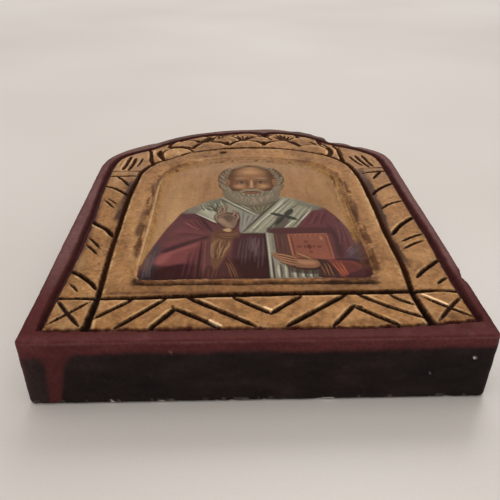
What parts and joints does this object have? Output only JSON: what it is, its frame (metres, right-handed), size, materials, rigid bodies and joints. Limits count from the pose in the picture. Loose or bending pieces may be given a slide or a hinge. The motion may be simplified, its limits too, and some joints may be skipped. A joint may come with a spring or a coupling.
{
  "type": "religious icon",
  "caption": "Thick round-headed wooden devotional icon with a carved and gilded border, a sunk painted panel, dovetailed battens and a swinging ring hanger let into the back.",
  "frame": {"origin": "middle of the board's flat back, under the centre of its bounding box", "axes": "+X to the viewer's right of the painted face, +Y to the board's round head, +Z out of the painted face"},
  "size_m": [0.15, 0.19, 0.026],
  "materials": {
    "carved_wood": "satin",
    "batten_wood": "matte",
    "picture": "satin",
    "hanger_brass": "aged",
    "screw_steel": "satin"
  },
  "bodies": {
    "board": {"stave_left": "carved_wood", "stave_centre": "carved_wood", "stave_right": "carved_wood", "batten_lower": "batten_wood", "batten_upper": "batten_wood", "picture_sheet": "picture", "hanger_strap": "hanger_brass", "screw_lower": "screw_steel", "screw_upper": "screw_steel"},
    "ring": {"hanger_ring": "hanger_brass"}
  },
  "joints": [
    {"name": "ring_swing", "type": "hinge", "parent": "board", "child": "ring", "pos_m": [0, 0.0625, 0.0031], "axis": [-1, 0, 0], "range_deg": [-13, 160]}
  ]
}
